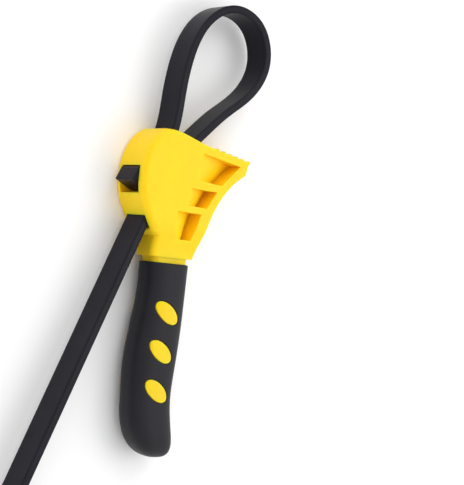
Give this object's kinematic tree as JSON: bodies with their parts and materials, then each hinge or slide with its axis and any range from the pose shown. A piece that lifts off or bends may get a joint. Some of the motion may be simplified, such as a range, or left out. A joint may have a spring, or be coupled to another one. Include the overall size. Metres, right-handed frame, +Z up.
{
  "type": "strap wrench",
  "caption": "Strap wrench with a moulded head, toothed jaw and soft grip; a thick rubber strap loops from the head's back, and its free end pulls through to tighten on round work.",
  "frame": {"origin": "on the flat side of the head that the wrench lies on, on the handle's axis, 60 mm above the collar's lower end", "axes": "+Z up, across the strap's width, with the wrench lying on its side; +Y along the handle from the grip to the head; +X from the head's rounded back to its toothed tip"},
  "size_m": [0.1894, 0.3712, 0.031],
  "materials": {
    "head_plastic": "satin moulded plastic",
    "inlay_plastic": "satin moulded plastic",
    "grip_rubber": "soft-touch, fine matt",
    "strap_rubber": "smooth moulded rubber, satin"
  },
  "bodies": {
    "wrench": {"head_body": "head_plastic", "handle_core": "head_plastic", "grip_sleeve": "grip_rubber", "grip_inlay_upper_1": "inlay_plastic", "grip_inlay_upper_2": "inlay_plastic", "grip_inlay_upper_3": "inlay_plastic", "grip_inlay_lower_1": "inlay_plastic", "grip_inlay_lower_2": "inlay_plastic", "grip_inlay_lower_3": "inlay_plastic", "strap_anchor": "strap_rubber"},
    "loop_01": {"strap_link_01": "strap_rubber"},
    "loop_02": {"strap_link_02": "strap_rubber"},
    "loop_03": {"strap_link_03": "strap_rubber"},
    "loop_04": {"strap_link_04": "strap_rubber"},
    "loop_05": {"strap_link_05": "strap_rubber"},
    "loop_06": {"strap_link_06": "strap_rubber"},
    "loop_07": {"strap_link_07": "strap_rubber"},
    "loop_08": {"strap_link_08": "strap_rubber"},
    "loop_09": {"strap_link_09": "strap_rubber"},
    "loop_10": {"strap_link_10": "strap_rubber"},
    "tail": {"strap_tail": "strap_rubber"}
  },
  "joints": [
    {"name": "strap_pull", "type": "slide", "parent": "wrench", "child": "tail", "axis": [-0.3859, -0.9225, 0], "range_m": [-0.015, 0.022]},
    {"name": "loop_bend_01", "type": "hinge", "parent": "wrench", "child": "loop_01", "pos_m": [-0.01133, 0.02532, 0.0155], "axis": [0, 0, 1], "range_deg": [-9.68, 14.03]},
    {"name": "loop_bend_02", "type": "hinge", "parent": "loop_01", "child": "loop_02", "pos_m": [-0.00714, 0.05355, 0.0155], "axis": [0, 0, 1], "range_deg": [-1.54, 2.09]},
    {"name": "loop_bend_03", "type": "hinge", "parent": "loop_02", "child": "loop_03", "pos_m": [-0.0029, 0.08177, 0.0155], "axis": [0, 0, 1], "range_deg": [-11.06, 7.65]},
    {"name": "loop_bend_04", "type": "hinge", "parent": "loop_03", "child": "loop_04", "pos_m": [0.00891, 0.10754, 0.0155], "axis": [0, 0, 1], "range_deg": [-12.21, 8.43]},
    {"name": "loop_bend_05", "type": "hinge", "parent": "loop_04", "child": "loop_05", "pos_m": [0.03245, 0.12264, 0.0155], "axis": [0, 0, 1], "range_deg": [-6.77, 4.73]},
    {"name": "loop_bend_06", "type": "hinge", "parent": "loop_05", "child": "loop_06", "pos_m": [0.05925, 0.11606, 0.0155], "axis": [0, 0, 1], "range_deg": [-1.77, 2.44]},
    {"name": "loop_bend_07", "type": "hinge", "parent": "loop_06", "child": "loop_07", "pos_m": [0.06966, 0.09062, 0.0155], "axis": [0, 0, 1], "range_deg": [-10.15, 14.72]},
    {"name": "loop_bend_08", "type": "hinge", "parent": "loop_07", "child": "loop_08", "pos_m": [0.05734, 0.06546, 0.0155], "axis": [0, 0, 1], "range_deg": [-8.45, 12.23]},
    {"name": "loop_bend_09", "type": "hinge", "parent": "loop_08", "child": "loop_09", "pos_m": [0.03533, 0.04732, 0.0155], "axis": [0, 0, 1], "range_deg": [-8.62, 5.99]},
    {"name": "loop_bend_10", "type": "hinge", "parent": "loop_09", "child": "loop_10", "pos_m": [0.01451, 0.02789, 0.0155], "axis": [0, 0, 1], "range_deg": [-6.41, 4.48]}
  ],
  "couplings": [
    {"joint": "loop_bend_01", "follows": "strap_pull", "rad_per_m": 10.856},
    {"joint": "loop_bend_02", "follows": "strap_pull", "rad_per_m": 1.3835},
    {"joint": "loop_bend_03", "follows": "strap_pull", "rad_per_m": -8.4936},
    {"joint": "loop_bend_04", "follows": "strap_pull", "rad_per_m": -9.4052},
    {"joint": "loop_bend_05", "follows": "strap_pull", "rad_per_m": -5.0968},
    {"joint": "loop_bend_06", "follows": "strap_pull", "rad_per_m": 1.6563},
    {"joint": "loop_bend_07", "follows": "strap_pull", "rad_per_m": 11.4},
    {"joint": "loop_bend_08", "follows": "strap_pull", "rad_per_m": 9.4235},
    {"joint": "loop_bend_09", "follows": "strap_pull", "rad_per_m": -6.5595},
    {"joint": "loop_bend_10", "follows": "strap_pull", "rad_per_m": -4.8087}
  ]
}
